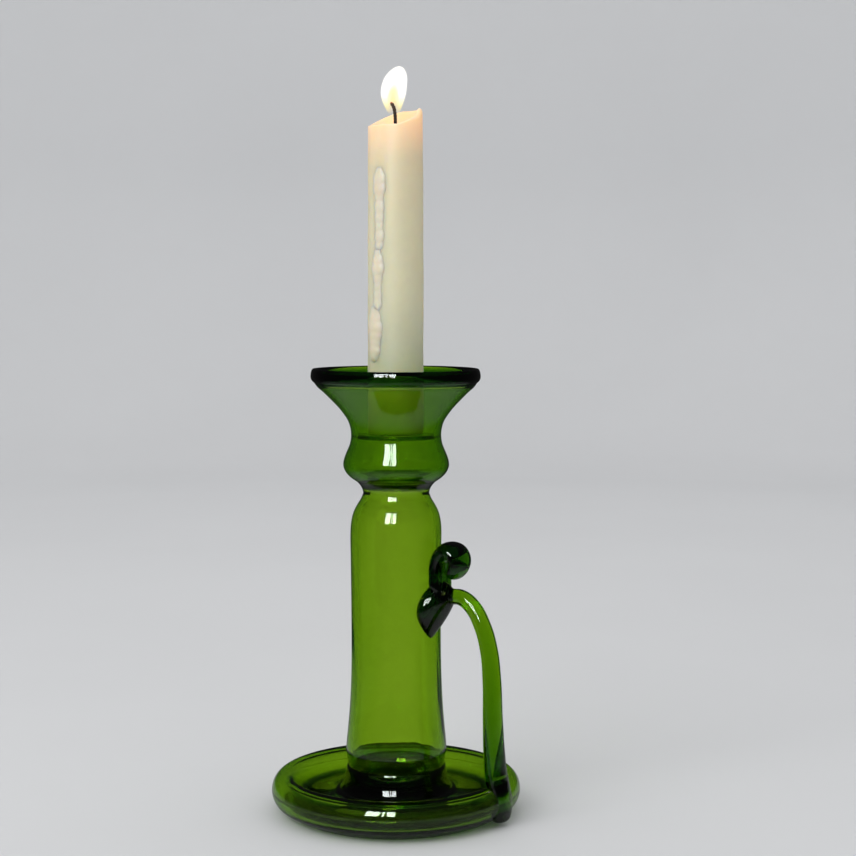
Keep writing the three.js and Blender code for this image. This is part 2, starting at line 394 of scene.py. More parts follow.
def add_node(tree, kind, settings=None, links=None):
    """Adds one node. settings sets attributes and unlinked inputs. links joins inputs to sockets, or to the
    first output of another node."""
    node = tree.nodes.new("ShaderNode" + kind)
    for name, value in (settings or {}).items():
        if isinstance(name, int) or name in node.inputs:
            node.inputs[name].default_value = value
        else:
            setattr(node, name, value)
    for name, source in (links or {}).items():
        socket = source.outputs[0] if isinstance(source, bpy.types.Node) else source
        tree.links.new(socket, node.inputs[name])
    return node


def new_material(name):
    """A material, its node tree and the coordinates for its patterns, or no tree if it is there already."""
    material = bpy.data.materials.get(name)
    if material:
        return material, None, None
    material = bpy.data.materials.new(name)
    material.use_nodes = True
    tree = material.node_tree
    tree.nodes.clear()
    return material, tree, add_node(tree, "TexCoord").outputs["Object"]


def green_glass(name, depth):
    """Iron-green soda glass, blown and fire-polished: clear and glossy, with faint drawn waves and smears.
    depth says how much deeper than the stem's the colour is: a thin wall passes yellow-green, and a solid
    lump is nearly black."""
    material, tree, place = new_material(name)
    if tree is None:
        return material
    settings = bpy.context.scene.candlestick_glass
    drawn = add_node(tree, "Mapping", {"Scale": (1, 1, 0.16)}, {"Vector": place})
    # Waves about 11 mm across, drawn out six times as long up the stem
    waves = add_node(
        tree, "TexNoise", {"Scale": 1 / (11 * MM), "Detail": 1.0, "Roughness": 0.4}, {"Vector": drawn},
    )
    # Fine cords about 2 mm across in the same direction
    cords = add_node(tree, "TexNoise", {"Scale": 1 / (2 * MM), "Detail": 1.0}, {"Vector": drawn})
    relief = add_node(tree, "Math", {"operation": "MULTIPLY_ADD", 1: 0.03}, {0: cords, 2: waves})
    surface = add_node(tree, "Bump", {"Strength": 0.3, "Distance": 0.25 * MM}, {"Height": relief})
    # Faint finger and wax smears, some 14 mm across
    smears = add_node(
        tree, "TexNoise", {"Scale": 1 / (14 * MM), "Detail": 6.0, "Roughness": 0.6}, {"Vector": place},
    )
    polish = add_node(
        tree, "MapRange", {"From Min": 0.55, "From Max": 0.85, "To Min": 0.0, "To Max": 0.03},
        {"Value": smears},
    )
    glass = add_node(
        tree, "BsdfPrincipled",
        {"Base Color": (1, 1, 1, 1), "IOR": 1.52, "Transmission Weight": 1.0},
        {"Roughness": polish, "Normal": surface},
    )
    colour = add_node(
        tree, "VolumeAbsorption",
        {"Color": (*settings.passed_light, 1), "Density": settings.depth_of_colour * depth},
    )
    add_node(tree, "OutputMaterial", None, {"Surface": glass, "Volume": colour})
    return material


# The kinds of glass in the holder, and how much deeper the colour of each is than the stem's
BLOWN = ("blown bottle-green glass", 1.0)  # the single gather of the stem and strap
SPUN = ("spun bottle-green glass", 1.1)  # the dish, from the same pot
TWICE_GATHERED = ("twice-gathered bottle-green glass", 1.5)  # the cup
SOLID = ("solid bottle-green glass", 1.5)  # lumps, which look nearly black
FOLDED = ("folded deep-green glass", 1.05)  # tucked in under the stem
WOUND = ("wound deep-green glass", 4.2)  # the lip, black where two turns are seen through each other


def wax(name, colour, sheen_range):
    """Paraffin and stearin wax: satin, with patches some 6 mm wide and a fine 1.6 mm grain. Light sinks a few
    millimetres into it. Towards the top a peach glow is painted in as emission, for the flame's light shining
    through."""
    material, tree, place = new_material(name)
    if tree is None:
        return material
    settings = bpy.context.scene.candlestick_candle
    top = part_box("candle_shaft")[1].z
    height = add_node(tree, "SeparateXYZ", None, {"Vector": place})
    mottle = add_node(
        tree, "TexNoise", {"Scale": 1 / (6 * MM), "Detail": 5.0, "Roughness": 0.6}, {"Vector": place},
    )
    shade = add_node(
        tree, "Mix",
        {"data_type": "RGBA", 6: (*colour, 1), 7: (*[c * 0.9 for c in colour], 1)},
        {0: mottle},
    )
    # Painted glow: emission that rises towards the top stands in for the flame's light shining through the
    # wax
    painted_glow = add_node(
        tree, "MapRange",
        {"interpolation_type": "SMOOTHERSTEP", "From Min": top - 24 * MM, "From Max": top - 3 * MM,
         "To Min": 0.0, "To Max": 0.3},
        {"Value": height.outputs["Z"]},
    )
    grain = add_node(tree, "TexNoise", {"Scale": 1 / (1.6 * MM), "Detail": 3.0}, {"Vector": place})
    surface = add_node(tree, "Bump", {"Strength": 0.25, "Distance": 0.15 * MM}, {"Height": grain})
    sheen = add_node(
        tree, "MapRange", {"To Min": sheen_range[0], "To Max": sheen_range[1]}, {"Value": mottle},
    )
    body = add_node(
        tree, "BsdfPrincipled",
        {"IOR": 1.44, "Subsurface Weight": 0.85, "Subsurface Radius": (1.0, 0.72, 0.42),
         "Subsurface Scale": 5 * MM, "Emission Color": (*settings.painted_glow_colour, 1)},
        {"Base Color": shade.outputs[2], "Roughness": sheen,
         "Normal": surface, "Emission Strength": painted_glow},
    )
    add_node(tree, "OutputMaterial", None, {"Surface": body})
    return material


def candle_wax():
    """The dipped candle: ivory and satin."""
    return wax("ivory candle wax", bpy.context.scene.candlestick_candle.wax_colour, (0.36, 0.52))


def set_wax():
    """Wax that ran down and set: whiter and wetter than the candle."""
    return wax("set wax drips", bpy.context.scene.candlestick_candle.drip_colour, (0.38, 0.5))


def liquid_wax():
    """Molten wax round the wick: clear, warm and wet, with a faint painted glow for the flame's light."""
    material, tree, place = new_material("molten candle wax")
    if tree is None:
        return material
    settings = bpy.context.scene.candlestick_candle
    ripple = add_node(tree, "TexNoise", {"Scale": 1 / (3 * MM), "Detail": 1.0}, {"Vector": place})
    surface = add_node(tree, "Bump", {"Strength": 0.15, "Distance": 0.1 * MM}, {"Height": ripple})
    warmth = add_node(
        tree, "Mix",
        {"data_type": "RGBA", 6: (*linear("#FFDDB0"), 1), 7: (*linear("#F4C58C"), 1)},
        {0: ripple},
    )
    # Painted glow: a faint even emission stands in for the flame's light in the molten wax
    wax = add_node(
        tree, "BsdfPrincipled",
        {"IOR": 1.44, "Roughness": 0.05, "Subsurface Weight": 0.6, "Subsurface Radius": (1, 0.7, 0.4),
         "Subsurface Scale": 4 * MM, "Emission Color": (*settings.painted_glow_colour, 1),
         "Emission Strength": 0.35},
        {"Base Color": warmth.outputs[2], "Normal": surface},
    )
    add_node(tree, "OutputMaterial", None, {"Surface": wax})
    return material


def charred_cotton():
    """Braided cotton wick, burnt black, with a faint ember at its tip."""
    material, tree, place = new_material("charred braided cotton")
    if tree is None:
        return material
    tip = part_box("wick")[1].z
    height = add_node(tree, "SeparateXYZ", None, {"Vector": place})
    # Braid strands about 0.5 mm wide
    braid = add_node(
        tree, "TexWave",
        {"wave_type": "BANDS", "bands_direction": "DIAGONAL", "Scale": 1 / (3 * MM), "Distortion": 1.5},
        {"Vector": place},
    )
    shade = add_node(
        tree, "Mix",
        {"data_type": "RGBA", 6: (*linear("#0D0A09"), 1), 7: (*linear("#33241C"), 1)},
        {0: braid.outputs["Fac"]},
    )
    surface = add_node(
        tree, "Bump", {"Strength": 0.8, "Distance": 0.15 * MM}, {"Height": braid.outputs["Fac"]},
    )
    ember = add_node(
        tree, "MapRange",
        {"From Min": tip - 1.2 * MM, "From Max": tip, "To Min": 0.0, "To Max": 1.6},
        {"Value": height.outputs["Z"]},
    )
    cotton = add_node(
        tree, "BsdfPrincipled",
        {"Roughness": 0.95, "Emission Color": (*linear("#FF6A1E"), 1)},
        {"Base Color": shade.outputs[2], "Normal": surface,
         "Emission Strength": ember},
    )
    add_node(tree, "OutputMaterial", None, {"Surface": cotton})
    return material


def candle_flame(base, top):
    """Burning wax vapour: a white-hot mantle round a clear peach hollow at the wick, yellow where they meet.
    The mantle looks fuller at its outline, where the eye looks along it."""
    material, tree, place = new_material("candle flame")
    if tree is None:
        return material
    height = add_node(tree, "SeparateXYZ", None, {"Vector": place})
    rise = add_node(tree, "MapRange", {"From Min": base, "From Max": top}, {"Value": height.outputs["Z"]})
    grazing = add_node(tree, "LayerWeight", {"Blend": 0.5})
    # The hollow is a cone that ends a little above the middle
    cone = add_node(
        tree, "Math", {"operation": "MULTIPLY_ADD", 1: 0.46}, {0: rise, 2: grazing.outputs["Facing"]},
    )
    mantle = add_node(
        tree, "MapRange",
        {"interpolation_type": "SMOOTHSTEP", "From Min": 0.12, "From Max": 0.34},
        {"Value": cone},
    )
    # The lower mantle burns yellow before it is white
    heat = add_node(
        tree, "MapRange", {"From Min": 0.08, "From Max": 0.42, "To Min": 0.3, "To Max": 1.0},
        {"Value": rise},
    )
    whiteness = add_node(tree, "Math", {"operation": "MULTIPLY"}, {0: mantle, 1: heat})
    colour = add_node(tree, "ValToRGB", None, {"Fac": whiteness})
    ramp = colour.color_ramp
    ramp.elements[0].color = (*linear("#FFD2B0"), 1)
    ramp.elements[1].color = (*linear("#FFFDF8"), 1)
    ramp.elements.new(0.45).color = (*linear("#FFEFA0"), 1)
    side = add_node(tree, "NewGeometry")
    hollow = add_node(
        tree, "MapRange", {"To Min": 0.06, "To Max": 0.8}, {"Value": side.outputs["Backfacing"]},
    )
    cover = add_node(tree, "Math", {"operation": "MAXIMUM"}, {0: mantle, 1: hollow})
    # The outline itself is soft, and so is the foot of the flame
    soft_edge = add_node(
        tree, "MapRange", {"From Min": 0.5, "From Max": 1.0, "To Min": 1.0, "To Max": 0.0},
        {"Value": grazing.outputs["Facing"]},
    )
    soft_foot = add_node(
        tree, "MapRange", {"From Min": 0.03, "From Max": 0.34, "To Min": 0.0, "To Max": 1.0},
        {"Value": rise},
    )
    softness = add_node(tree, "Math", {"operation": "MULTIPLY"}, {0: soft_edge, 1: soft_foot})
    alpha = add_node(tree, "Math", {"operation": "MULTIPLY", "use_clamp": True}, {0: cover, 1: softness})
    vapour = add_node(
        tree, "BsdfPrincipled",
        {"Base Color": (0, 0, 0, 1), "Specular IOR Level": 0.0, "Roughness": 1.0, "Emission Strength": 1.25},
        {"Emission Color": colour, "Alpha": alpha},
    )
    add_node(tree, "OutputMaterial", None, {"Surface": vapour})
    return material


def pale_cloth():
    """Matt off-white floor and backdrop."""
    material, tree, place = new_material("pale matt floor")
    if tree is None:
        return material
    settings = bpy.context.scene.candlestick_stage
    # Uneven over patches some 33 cm across
    cloud = add_node(tree, "TexNoise", {"Scale": 3.0, "Detail": 3.0}, {"Vector": place})
    shade = add_node(
        tree, "Mix",
        {"data_type": "RGBA", 6: (*settings.cloth_colour, 1),
         7: (*[c * 0.93 for c in settings.cloth_colour], 1)},
        {0: cloud},
    )
    cloth = add_node(
        tree, "BsdfPrincipled", {"Roughness": 1.0, "Specular IOR Level": 0.0},
        {"Base Color": shade.outputs[2]},
    )
    # Painted reflection: glass sees the floor away from the foot as a dim painted room, so only the floor
    # near the foot shows bright in it
    distance = add_node(tree, "VectorMath", {"operation": "LENGTH"}, {"Vector": place})
    fade = add_node(
        tree, "MapRange",
        {"interpolation_type": "SMOOTHSTEP", "From Min": 0.06, "From Max": 0.4, "To Min": 0.5},
        {"Value": distance.outputs["Value"]},
    )
    path = add_node(tree, "LightPath")
    mirrored = add_node(
        tree, "Math", {"operation": "GREATER_THAN"},
        {0: path.outputs["Is Glossy Ray"], 1: path.outputs["Is Transmission Ray"]},
    )
    dim = add_node(tree, "Math", {"operation": "MULTIPLY"}, {0: mirrored, 1: fade})
    # A dark emission painted into what glossy and transmission rays see of the floor, standing in for a dim
    # room
    painted_dim_room = add_node(tree, "Emission", {"Color": (0.02, 0.02, 0.02, 1)})
    seen = add_node(tree, "MixShader", None, {0: dim, 1: cloth, 2: painted_dim_room})
    add_node(tree, "OutputMaterial", None, {"Surface": seen})
    return material


def dress(piece, material, body, nodes=()):
    """Gives a piece its material and body, and hides the frame nodes that it stands for."""
    piece.data.materials.clear()
    piece.data.materials.append(material)
    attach(piece, body)
    if nodes:
        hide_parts(*nodes)
    return piece


def glass_piece(piece, glass):
    """Lets a glass piece stray from true, and puts it in the place of the frame node of its name."""
    wander(piece)
    node = piece.name.removesuffix(".glass")
    dress(finished(piece), green_glass(*glass), "holder", [node])


# ---------------------------------------------------------------- the dish


def rim_place():
    """Centre and half size of the rolled rim's section, in mm."""
    outer = reach("drip_tray")
    top = high("drip_tray")
    seam = high("foot_shell")
    return (outer - 5.6, seam), (5.6, top - seam)


class CANDLESTICK_OT_foot_shell(bpy.types.Operator):
    """Model the lower wall of the dish: push-up, foot ring and the underside of the hollow rim"""

    bl_idname = "candlestick.foot_shell"
    bl_label = "Foot shell"

    def execute(self, context):
        centre, size = rim_place()
        wall = context.scene.candlestick_glass.wall / MM
        outer, seam = centre[0] + size[0], centre[1] + LAP
        dome = 7.0
        piece = turned("foot_shell.glass", [
            (0, dome),
            *flow([(7, 6.8), (14, 5.9), (21.5, 4.2), (30, 1.8), (36.5, 0.25)], 14),
            (38.2, 0), (40, 0), (42, 0), (43.2, 0.1),
            *arc(centre, size, -64, -2, 12),
            (outer, seam), (outer - 0.2, seam), (outer - wall + 0.2, seam), (outer - wall, seam),
            *arc(centre, (size[0] - wall, size[1] - wall), -3, -108, 12),
            (40.6, 3.1), (38, 2.9),
            *flow([(33, 3.6), (27, 5.1), (21.5, 6.4), (14, 8.0), (7, 8.8)], 10),
            (0, dome + 2),
        ])
        glass_piece(piece, SPUN)
        return {"FINISHED"}


class CANDLESTICK_OT_drip_tray(bpy.types.Operator):
    """Model the upper wall of the dish: the trough and the rolled hollow rim"""

    bl_idname = "candlestick.drip_tray"
    bl_label = "Drip tray"

    def execute(self, context):
        centre, size = rim_place()
        wall = context.scene.candlestick_glass.wall / MM
        outer, seam = centre[0] + size[0], centre[1] - LAP
        piece = turned("drip_tray.glass", [
            (22.8, 6.0), (27, 4.95), (33, 3.5), (38, 2.8), (40.6, 3.0), (42.4, 4.6),
            *arc(centre, (size[0] - wall, size[1] - wall), 196, 3, 14),
            (outer - wall, seam), (outer - wall + 0.2, seam), (outer - 0.2, seam), (outer, seam),
            *arc(centre, size, 2, 186, 22),
            *flow([(40.1, 7.6), (38.4, 6.9), (35, 6.8), (30, 7.4), (26.4, 8.6), (24.3, 10.2)], 12),
            (22.8, 10.2),
        ])
        glass_piece(piece, SPUN)
        return {"FINISHED"}


class CANDLESTICK_OT_pontil_scar(bpy.types.Operator):
    """Model the broken ring that the working rod left under the foot"""

    bl_idname = "candlestick.pontil_scar"
    bl_label = "Pontil scar"

    def execute(self, context):
        bottom = low("pontil_scar")
        piece = turned("pontil_scar.glass", [
            (6.1, bottom + 0.7), (6.8, bottom + 0.05), (7.7, bottom + 0.1), (8.4, bottom + 0.6),
            (8.8, bottom + 1.75), (8.0, bottom + 2.2), (6.6, bottom + 2.3), (5.9, bottom + 2.1),
        ], steps=48)
        # The glass broke off unevenly
        wander(piece, scale=3, amount=1.1 * MM)
        glass_piece(piece, SOLID)
        return {"FINISHED"}


# ---------------------------------------------------------------- the stem and cup


def stem_foot():
    """Radius, floor height and corner rounding of the closed lower end of the stem, in mm.
    The joint wraps round it, up to where the stem is at its widest."""
    return reach("stem_column") - 1.1, low("stem_column"), 9.6


class CANDLESTICK_OT_stem_joint(bpy.types.Operator):
    """Model the thick glass that joins the stem to the dish"""

    bl_idname = "candlestick.stem_joint"
    bl_label = "Stem joint"

    def execute(self, context):
        radius, floor, corner = stem_foot()
        centre = (radius - corner, floor + corner)
        lap = LAP * 2
        piece = turned("stem_joint.glass", [
            (0, floor + lap),
            (0, 8.7),
            (7, 8.5), (14, 7.8), (20, 6.5), (22.9, 5.8), (24.0, 7.4),
            *flow([(24.1, 9.2), (23.2, 10.5), (22.3, 11.9), (21.6, 13.8), (21.05, 16.2), (20.6, 18.6)], 14),
            (20.3, 19.4), (20.05, 19.6), (19.9, 19.2),
            *arc(centre, (corner - lap, corner - lap), -6, -88, 14),
        ])
        glass_piece(piece, FOLDED)
        return {"FINISHED"}


class CANDLESTICK_OT_stem_column(bpy.types.Operator):
    """Model the hollow stem, with its drawn streaks, rounded shoulder and pinched neck"""

    bl_idname = "candlestick.stem_column"
    bl_label = "Stem"

    def execute(self, context):
        radius, floor, corner = stem_foot()
        top = high("stem_column") + LAP
        wall = context.scene.candlestick_glass.wall / MM
        centre = (radius - corner, floor + corner)
        outside = flow([
            (radius, floor + corner + 1), (20.45, 22.4), (20.85, 25), (20.75, 29), (20.2, 34.5), (19.5, 42.5),
            (18.95, 52), (18.6, 64), (18.5, 76), (18.55, 90), (18.7, 106), (18.85, 115.5), (18.6, 121),
            (17.7, 125.2), (16.2, 128.4), (14.6, 131), (13.65, top),
        ], 72)
        inside = inner_wall(outside, lambda share: wall + 0.25 * max(0, share - 0.8))
        inside[0] = (11.25, top)
        piece = turned("stem_column.glass", [
            (0, floor),
            *arc(centre, (corner, corner), -90, -4, 12),
            *outside, (13.4, top), (11.5, top),
            *inside,
            *arc(centre, (corner - wall, corner - wall), 0, -90, 12),
            (0, floor + wall),
        ])
        streak(piece, floor + 14, top - 6, 16)
        glass_piece(piece, BLOWN)
        return {"FINISHED"}


class CANDLESTICK_OT_neck_wafer(bpy.types.Operator):
    """Model the solid disc pinched between the stem and the cup"""

    bl_idname = "candlestick.neck_wafer"
    bl_label = "Neck wafer"

    def execute(self, context):
        seam = high("stem_column") - LAP
        top = low("candle_cup") + LAP
        piece = turned("neck_wafer.glass", [
            (0, top - 0.5), (7, top - 0.55), (10.4, top - 0.85), (11.9, top - 1.5), (12.2, seam + 2.7),
            (11.6, seam + 1.4), (11.3, seam + 0.3), (11.25, seam), (11.5, seam), (13.4, seam), (13.65, seam),
            (13.67, seam + 0.3), (13.75, seam + 1), (14.05, seam + 2), (14.7, seam + 3.2), (15.6, seam + 4.3),
            (16.55, top), (16.3, top), (8, top), (0, top),
        ])
        glass_piece(piece, BLOWN)
        return {"FINISHED"}


# The cup's wall is a little thicker than the stem's, and its inside is even at the waist, in mm
CUP_WALL = 2.6
WAIST_BORE = 16.1


class CANDLESTICK_OT_candle_cup(bpy.types.Operator):
    """Model the cup: a bulge, a waist and a flared funnel"""

    bl_idname = "candlestick.candle_cup"
    bl_label = "Candle cup"

    def execute(self, context):
        bottom = low("candle_cup")
        top = high("candle_cup") + LAP
        outside = flow([
            (16.55, bottom - LAP), (18.9, 140), (20.7, 141.9), (21.7, 144), (21.85, 145.8), (21.5, 147.6),
            (20.8, 149.6), (19.95, 151.6), (19.2, 153.5), (18.75, 155.6), (18.65, 158), (18.95, 160.4),
            (19.75, 162.9), (21.0, 165.1), (23.5, 168.4), (26.6, 171.7), (29.9, 175), (32.3, 177.1),
            (33.7, top),
        ], 72)
        inside = inner_wall(outside, lambda share: CUP_WALL)
        inside = [(r, z) for r, z in inside if bottom + 1.2 < z < top - 0.3]
        piece = turned("candle_cup.glass", [
            (0, bottom - LAP), (8, bottom - LAP), (16.3, bottom - LAP),
            *outside,
            (33.45, top), (30.25, top), (30.0, top),
            *inside,
            (13, bottom + 0.95), (8, bottom + 0.6), (0, bottom + 0.5),
        ])
        glass_piece(piece, TWICE_GATHERED)
        return {"FINISHED"}


class CANDLESTICK_OT_seat_ledge(bpy.types.Operator):
    """Model the inner ring at the waist that the candle stands on"""

    bl_idname = "candlestick.seat_ledge"
    bl_label = "Seat ledge"

    def execute(self, context):
        bottom, top = low("seat_ledge"), high("seat_ledge")
        outer = WAIST_BORE
        piece = turned("seat_ledge.glass", [
            (10.9, top - 0.4), (11.0, top - 0.6), (11.5, top - 0.75), (13.2, top - 0.85),
            (outer - 0.6, top - 1.3), (outer, bottom + 0.4), (outer, top + 0.5),
            (outer - 0.6, top + 0.1), (13.2, top), (11.5, top), (11.0, top - 0.15),
        ])
        glass_piece(piece, BLOWN)
        return {"FINISHED"}


class CANDLESTICK_OT_lip_wrap(bpy.types.Operator):
    """Model the solid ring on the mouth of the cup"""

    bl_idname = "candlestick.lip_wrap"
    bl_label = "Lip wrap"

    def execute(self, context):
        top = high("lip_wrap")
        seam = high("candle_cup") - LAP
        # Its inner face carries the slope of the funnel on, and its outer face is nearly upright
        piece = turned("lip_wrap.glass", [
            (30.1, seam + 0.12), (30.0, seam), (30.25, seam), (33.45, seam), (33.7, seam), (33.8, seam + 0.1),
            *flow([
                (34.35, seam + 0.55), (34.9, seam + 1.4), (35.1, seam + 2.4), (35.05, seam + 3.5),
                (34.85, seam + 4.6), (34.5, top - 0.35), (34.1, top), (33.75, top - 0.2), (33.35, top - 0.85),
                (32.2, top - 2.5), (31.0, top - 4.2),
            ], 22),
        ])
        glass_piece(piece, WOUND)
        return {"FINISHED"}


# ---------------------------------------------------------------- the handle

# The strand is drawn up from the rim, laid on the stem, and its tail is curled over for the thumb
DRAWN = (7.2, 6.4)  # width and thickness of the strand where it meets the stem, in mm
HANDLE_ROUTE = [
    (48.3, 1.9), (49.3, 5.5), (49.5, 10), (48.4, 15), (47.3, 19.4), (46.3, 30), (45.6, 44), (45.0, 60),
    (43.6, 72), (40.6, 81.5), (35.9, 88.9), (31.0, 92.0), (26.4, 92.3), (22.9, 93.3), (21.2, 96.6),
    (21.0, 101), (21.4, 105.8), (23.4, 109.6), (26.6, 110.8), (29.3, 108.9), (29.7, 105.3), (27.4, 102.9),
    (25.2, 103.8),
]


def handle_guide():
    """The strand's guide curve, and how far along it the heel ends, the curl starts and the tip is, in mm."""
    curve = guide("handle_route", [(x, 0, z) for x, z in HANDLE_ROUTE])
    along = [0.0]
    for here, there in zip(HANDLE_ROUTE, HANDLE_ROUTE[1:]):
        along.append(along[-1] + (Vector(there) - Vector(here)).length)
    total = curve.data.splines[0].calc_length() / MM
    stretch = total / along[-1]
    return curve, along[4] * stretch, along[12] * stretch, total


def stem_cutter(radius):
    """A plain post in the place of the stem's upper half, to cut what was pressed on to it."""
    return turned("stem cutter", [(0, 60), (radius, 60), (radius, 130), (0, 130)], SMOOTH, 0)


def strand_size(place, heel_end, curl_start, total):
    """Width and thickness of the strand, in mm, at a distance along it."""
    if place <= heel_end:
        t = place / heel_end
        round_off = round_end(place, 2.6, 0.1)
        return (11.4 + 1.0 * t) * round_off, (7.4 + 0.8 * t) * round_off
    width, thickness = DRAWN
    if place <= curl_start:
        t = (place - heel_end) / (curl_start - heel_end)
        return width + 5.2 * (1 - t) ** 1.7, thickness + 1.8 * (1 - t) ** 1.2
    # The tail is pressed wide where the curl starts, and gets narrower and thicker towards its tip
    t = (place - curl_start) / (total - curl_start)
    swell = min(1, t / 0.22)
    thick = limited((t - 0.3) / 0.3)
    width += 10.2 * eased(swell) - 4.9 * t * t
    thickness += 1.4 * eased(thick) - 1.9 * swell * (1 - thick)
    round_off = round_end(total - place, 3.4, 0.03)
    return width * round_off, thickness * round_off


class CANDLESTICK_OT_handle(bpy.types.Operator):
    """Draw the handle's strand: its heel on the rim, the strap and the curl for the thumb"""

    bl_idname = "candlestick.handle"
    bl_label = "Handle strand"

    def execute(self, context):
        curve, heel_end, curl_start, total = handle_guide()

        def size_at(place):
            return strand_size(place, heel_end, curl_start, total)

        heel = bar("handle_heel.glass", 0, heel_end + LAP, 0.6, size_at, 48, 2.2)
        bend(heel, curve)
        centre, size = rim_place()
        rim = turned("rim cutter", arc(centre, (size[0] - LAP * 2, size[1] - LAP * 2), 0, 352, 44), SMOOTH, 0)
        carve(heel, rim)
        glass_piece(heel, SOLID)

        strap = bar("handle_strap.glass", heel_end - LAP, curl_start + LAP, 0.9, size_at, 48)
        bend(strap, curve)
        glass_piece(strap, BLOWN)

        curl = bar("thumb_curl.glass", curl_start - LAP, total - 0.02, 0.5, size_at, 48)
        bend(curl, curve)
        carve(curl, stem_cutter(18.5))
        glass_piece(curl, SOLID)
        discard(curve)
        return {"FINISHED"}


class CANDLESTICK_OT_handle_seal(bpy.types.Operator):
    """Model the leaf-shaped seal that holds the handle on the stem"""

    bl_idname = "candlestick.handle_seal"
    bl_label = "Handle seal"

    def execute(self, context):
        bottom, top = low("handle_seal"), high("handle_seal")
        half = (top - bottom) / 2
        middle = (bottom + top) / 2 - 1.5
        deep, wide = 9.8, 11.0
        roundness = 1.45  # 2 would give an oval section, and less brings out a keel
        leaf = ball("handle_seal.glass", (0, 0, 0), (deep, wide, half + 0.6), (64, 40))
        # Pressed on with a keel down its middle, and drawn to a point below
        for vertex in leaf.data.vertices:
            fall = max(0, -vertex.co.z / (half * MM))
            flat = Vector((vertex.co.x / deep, vertex.co.y / wide))
            keel = 1.0
            if flat.length > 0:
                share = flat.normalized()
                keel = (abs(share.x) ** roundness + abs(share.y) ** roundness) ** (-1 / roundness)
            vertex.co.x *= keel * (1 - 0.6 * fall)
            vertex.co.y *= keel * (1 - 0.45 * fall * fall)
            vertex.co.y -= 2.2 * fall * fall * MM
            if vertex.co.z > 0:
                vertex.co.z *= 0.78
            vertex.co.z += 0.45 * vertex.co.x
        leaf.location = Vector((18.0, 0, middle)) * MM
        bpy.ops.object.transform_apply(location=True, rotation=True, scale=True)
        carve(leaf, stem_cutter(18.45))
        glass_piece(leaf, SOLID)
        return {"FINISHED"}


# ---------------------------------------------------------------- the candle


class CANDLESTICK_OT_candle_shaft(bpy.types.Operator):
    """Model the candle, with its burnt slope, crater and melted edge"""

    bl_idname = "candlestick.candle_shaft"
    bl_label = "Candle"

    def execute(self, context):
        bottom, top = low("candle_shaft"), high("candle_shaft")
        radius = reach("candle_shaft")
        neck = radius - 0.3
        burnt = 14  # height of the top that softened, in mm
        crater = 8  # depth of the crater, in mm
        piece = turned("candle_shaft.wax", [
            (0, bottom), (radius - 1, bottom), (radius - 0.2, bottom + 0.3), (radius, bottom + 1.2),
            *flow([
                (radius, bottom + 4), (radius - 0.1, bottom + 60), (neck, top - burnt), (neck, top - 4),
            ], 24),
            (neck, top - 2), (neck - 0.1, top - 0.9), (neck - 0.7, top - 0.15), (neck - 1.5, top - 0.1),
            (neck - 2.3, top - 0.9), (neck - 3, top - 2.3),
            *flow([(neck - 4, top - 4.2), (6, top - 6.4), (3.4, top - 7.7), (1.2, top - crater)], 8),
            (0, top - crater),
        ])
        # The flame burnt the rim lower on one side, and left a horn standing on the other
        downhill = Vector((cos(LOW_SIDE), sin(LOW_SIDE)))
        horn = Vector((cos(HORN_SIDE), sin(HORN_SIDE))) * (radius - 1.6)
        for vertex in piece.data.vertices:
            lift = limited((vertex.co.z / MM - (top - burnt)) / burnt)
            flat = vertex.co.xy / MM
            slope = 0.5 + 0.5 * flat.dot(downhill) / max(0.1, flat.length)
            sag = 7.3 * limited(1.3 * slope - 0.07) * min(1, flat.length / 8)
            sag -= 1.5 * exp(-(flat - horn).length_squared / 6) * lift
            sunk = vertex.co.z - sag * lift ** 1.6 * MM
            if flat.length < neck - 1:
                sunk = max(sunk, (top - crater - 0.1) * MM)
            vertex.co.z = sunk
        wander(piece, scale=22, amount=0.5 * MM)
        dress(finished(piece, 60), candle_wax(), "candle", ["candle_shaft"])
        return {"FINISHED"}


class CANDLESTICK_OT_melt_pool(bpy.types.Operator):
    """Model the pool of liquid wax round the wick"""

    bl_idname = "candlestick.melt_pool"
    bl_label = "Melt pool"

    def execute(self, context):
        top = low("melt_pool") + 0.4
        piece = turned("melt_pool.wax", [
            (0, top - 0.9), (3, top - 0.9), (5.4, top - 0.5), (5.6, top + 0.2), (5.0, top + 0.1), (3, top),
            (1.2, top + 0.1), (0, top + 0.2),
        ], steps=48)
        dress(finished(piece, 80), liquid_wax(), "candle", ["melt_pool"])
        return {"FINISHED"}


class CANDLESTICK_OT_wick(bpy.types.Operator):
    """Model the curved, charred wick"""

    bl_idname = "candlestick.wick"
    bl_label = "Wick"

    def execute(self, context):
        start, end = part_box("wick")
        foot, tip = start.z / MM - 2, end.z / MM
        lean = Vector((-cos(VIEW_HEADING), -sin(VIEW_HEADING)))
        rise = tip - foot
        route = [(0, 0, foot), (0, 0, foot + rise * 0.3)]
        for share, out in ((0.6, 0.2), (0.8, 0.75), (0.95, 1.9)):
            route.append((lean.x * out, lean.y * out, foot + rise * share))
        curve = guide("wick_route", route)
        length = curve.data.splines[0].calc_length() / MM

        def size_at(place):
            knot = 1 + 0.12 * sin(place * 5.2)
            size = 1.45 * knot * round_end(length - place, 0.9, 0.09)
            return size, size * 0.85

        piece = bar("wick.cotton", 0, length - 0.02, 0.25, size_at, sides=16)
        bend(piece, curve)
        discard(curve)
        dress(finished(piece, 60), charred_cotton(), "candle", ["wick"])
        return {"FINISHED"}


